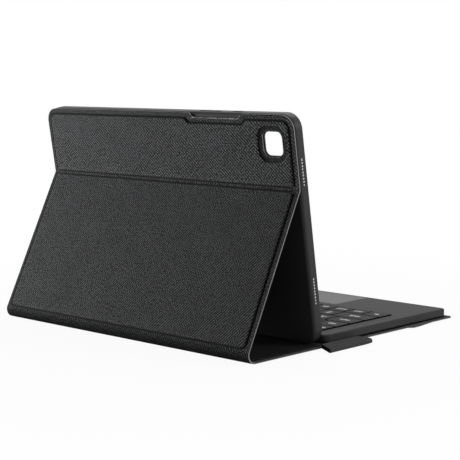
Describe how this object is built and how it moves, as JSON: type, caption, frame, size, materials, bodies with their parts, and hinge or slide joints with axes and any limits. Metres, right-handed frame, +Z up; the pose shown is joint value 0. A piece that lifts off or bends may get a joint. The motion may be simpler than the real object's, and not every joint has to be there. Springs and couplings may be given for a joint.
{
  "type": "tablet keyboard case",
  "caption": "Fabric folio with a folding kickstand that stands a moulded tablet tray behind a detachable slab keyboard with touchpad and pen loop.",
  "frame": {"origin": "centre of the base flap's underside, on the desk", "axes": "+Z up, +X to the user's right, the user sits at -Y and the stand is at +Y"},
  "size_m": [0.2675, 0.2374, 0.1625],
  "materials": {
    "twill": "woven polyester twill, matt charcoal",
    "lining": "black microfibre",
    "elastic": "dense woven band, matt",
    "stiffener": "pressed fibre board",
    "adhesive": "double-sided foam sheet",
    "tray": "satin moulded polycarbonate",
    "shell": "fine matt moulding",
    "keycap": "fine matt moulding with pale legends",
    "pad": "smooth silk coating",
    "rubber": "matt",
    "steel": "plain sheet",
    "magnet": "nickel plated",
    "circuit": "solder mask",
    "cell": "foil pouch",
    "film": "printed film with rubber domes",
    "light": "clear light pipe"
  },
  "bodies": {
    "base": {"base_fabric": "twill", "base_lining": "lining", "base_board": "stiffener", "keyboard_plates": "steel", "stand_magnets": "magnet", "pen_loop": "elastic", "spine_lower": "twill"},
    "kickstand": {"kickstand_fabric": "twill", "kickstand_board": "stiffener", "kickstand_lining": "lining", "fold_web": "twill", "spine_middle": "twill", "spine_upper": "twill"},
    "top": {"top_panel_fabric": "twill", "top_panel_board": "stiffener", "top_panel_lining": "lining", "tray_bond": "adhesive", "tray_shell": "tray", "tray_foot_plate": "steel"},
    "keyboard": {"keyboard_deck": "shell", "keyboard_bottom": "shell", "keyboard_feet": "rubber", "keyboard_magnets": "magnet", "keyboard_screws": "steel", "charging_socket": "steel", "power_switch": "shell", "keyboard_battery": "cell", "main_board": "circuit", "status_lights": "light", "touchpad_switch": "shell", "key_guide_plate": "steel", "switch_membrane": "film"},
    "touchpad": {"touchpad": "pad", "touchpad_board": "circuit"},
    "power_slider": {"power_slider": "shell"},
    "fn_key": {"fn_key": "keycap"},
    "modifier_keys": {"modifier_keys": "keycap"},
    "space_bar": {"space_bar": "keycap"},
    "left_arrow_key": {"left_arrow_key": "keycap"},
    "down_arrow_key": {"down_arrow_key": "keycap"},
    "right_arrow_key": {"right_arrow_key": "keycap"},
    "left_shift_key": {"left_shift_key": "keycap"},
    "bottom_letter_keys": {"bottom_letter_keys": "keycap"},
    "up_arrow_key": {"up_arrow_key": "keycap"},
    "right_shift_key": {"right_shift_key": "keycap"},
    "caps_lock_key": {"caps_lock_key": "keycap"},
    "home_letter_keys": {"home_letter_keys": "keycap"},
    "enter_key": {"enter_key": "keycap"},
    "tab_key": {"tab_key": "keycap"},
    "top_letter_keys": {"top_letter_keys": "keycap"},
    "backslash_key": {"backslash_key": "keycap"},
    "escape_key": {"escape_key": "keycap"},
    "number_keys": {"number_keys": "keycap"},
    "backspace_key": {"backspace_key": "keycap"}
  },
  "joints": [
    {"name": "kickstand_bend", "type": "hinge", "parent": "base", "child": "kickstand", "pos_m": [0, 0.1222, 0.00304], "axis": [-1, 0, 0], "range_deg": [0, 116.11]},
    {"name": "panel_fold", "type": "hinge", "parent": "kickstand", "child": "top", "pos_m": [0, 0.07097, 0.11064], "axis": [-1, 0, 0], "range_deg": [-35.63, 0]},
    {"name": "keyboard_lift", "type": "slide", "parent": "base", "child": "keyboard", "axis": [0, 0, 1], "range_m": [0, 0.03]},
    {"name": "touchpad_click", "type": "hinge", "parent": "keyboard", "child": "touchpad", "pos_m": [0, -0.0653, 0.0067], "axis": [1, 0, 0], "range_deg": [0, 0.5], "stiffness_Nm_per_rad": 3, "springref_deg": -0.23},
    {"name": "power_slide", "type": "slide", "parent": "keyboard", "child": "power_slider", "axis": [0, 1, 0], "range_m": [0, 0.0025]},
    {"name": "fn_key_press", "type": "slide", "parent": "keyboard", "child": "fn_key", "axis": [0, 0, -1], "range_m": [0, 0.0012], "stiffness_N_per_m": 450, "springref_m": -0.0002},
    {"name": "modifier_keys_press", "type": "slide", "parent": "keyboard", "child": "modifier_keys", "axis": [0, 0, -1], "range_m": [0, 0.0012], "stiffness_N_per_m": 450, "springref_m": -0.0002},
    {"name": "space_bar_press", "type": "slide", "parent": "keyboard", "child": "space_bar", "axis": [0, 0, -1], "range_m": [0, 0.0012], "stiffness_N_per_m": 450, "springref_m": -0.0002},
    {"name": "left_arrow_key_press", "type": "slide", "parent": "keyboard", "child": "left_arrow_key", "axis": [0, 0, -1], "range_m": [0, 0.0012], "stiffness_N_per_m": 450, "springref_m": -0.0002},
    {"name": "down_arrow_key_press", "type": "slide", "parent": "keyboard", "child": "down_arrow_key", "axis": [0, 0, -1], "range_m": [0, 0.0012], "stiffness_N_per_m": 450, "springref_m": -0.0002},
    {"name": "right_arrow_key_press", "type": "slide", "parent": "keyboard", "child": "right_arrow_key", "axis": [0, 0, -1], "range_m": [0, 0.0012], "stiffness_N_per_m": 450, "springref_m": -0.0002},
    {"name": "left_shift_key_press", "type": "slide", "parent": "keyboard", "child": "left_shift_key", "axis": [0, 0, -1], "range_m": [0, 0.0012], "stiffness_N_per_m": 450, "springref_m": -0.0002},
    {"name": "bottom_letter_keys_press", "type": "slide", "parent": "keyboard", "child": "bottom_letter_keys", "axis": [0, 0, -1], "range_m": [0, 0.0012], "stiffness_N_per_m": 450, "springref_m": -0.0002},
    {"name": "up_arrow_key_press", "type": "slide", "parent": "keyboard", "child": "up_arrow_key", "axis": [0, 0, -1], "range_m": [0, 0.0012], "stiffness_N_per_m": 450, "springref_m": -0.0002},
    {"name": "right_shift_key_press", "type": "slide", "parent": "keyboard", "child": "right_shift_key", "axis": [0, 0, -1], "range_m": [0, 0.0012], "stiffness_N_per_m": 450, "springref_m": -0.0002},
    {"name": "caps_lock_key_press", "type": "slide", "parent": "keyboard", "child": "caps_lock_key", "axis": [0, 0, -1], "range_m": [0, 0.0012], "stiffness_N_per_m": 450, "springref_m": -0.0002},
    {"name": "home_letter_keys_press", "type": "slide", "parent": "keyboard", "child": "home_letter_keys", "axis": [0, 0, -1], "range_m": [0, 0.0012], "stiffness_N_per_m": 450, "springref_m": -0.0002},
    {"name": "enter_key_press", "type": "slide", "parent": "keyboard", "child": "enter_key", "axis": [0, 0, -1], "range_m": [0, 0.0012], "stiffness_N_per_m": 450, "springref_m": -0.0002},
    {"name": "tab_key_press", "type": "slide", "parent": "keyboard", "child": "tab_key", "axis": [0, 0, -1], "range_m": [0, 0.0012], "stiffness_N_per_m": 450, "springref_m": -0.0002},
    {"name": "top_letter_keys_press", "type": "slide", "parent": "keyboard", "child": "top_letter_keys", "axis": [0, 0, -1], "range_m": [0, 0.0012], "stiffness_N_per_m": 450, "springref_m": -0.0002},
    {"name": "backslash_key_press", "type": "slide", "parent": "keyboard", "child": "backslash_key", "axis": [0, 0, -1], "range_m": [0, 0.0012], "stiffness_N_per_m": 450, "springref_m": -0.0002},
    {"name": "escape_key_press", "type": "slide", "parent": "keyboard", "child": "escape_key", "axis": [0, 0, -1], "range_m": [0, 0.0012], "stiffness_N_per_m": 450, "springref_m": -0.0002},
    {"name": "number_keys_press", "type": "slide", "parent": "keyboard", "child": "number_keys", "axis": [0, 0, -1], "range_m": [0, 0.0012], "stiffness_N_per_m": 450, "springref_m": -0.0002},
    {"name": "backspace_key_press", "type": "slide", "parent": "keyboard", "child": "backspace_key", "axis": [0, 0, -1], "range_m": [0, 0.0012], "stiffness_N_per_m": 450, "springref_m": -0.0002}
  ],
  "couplings": [
    {"joint": "panel_fold", "follows": "kickstand_bend", "ratio": -0.30672}
  ]
}
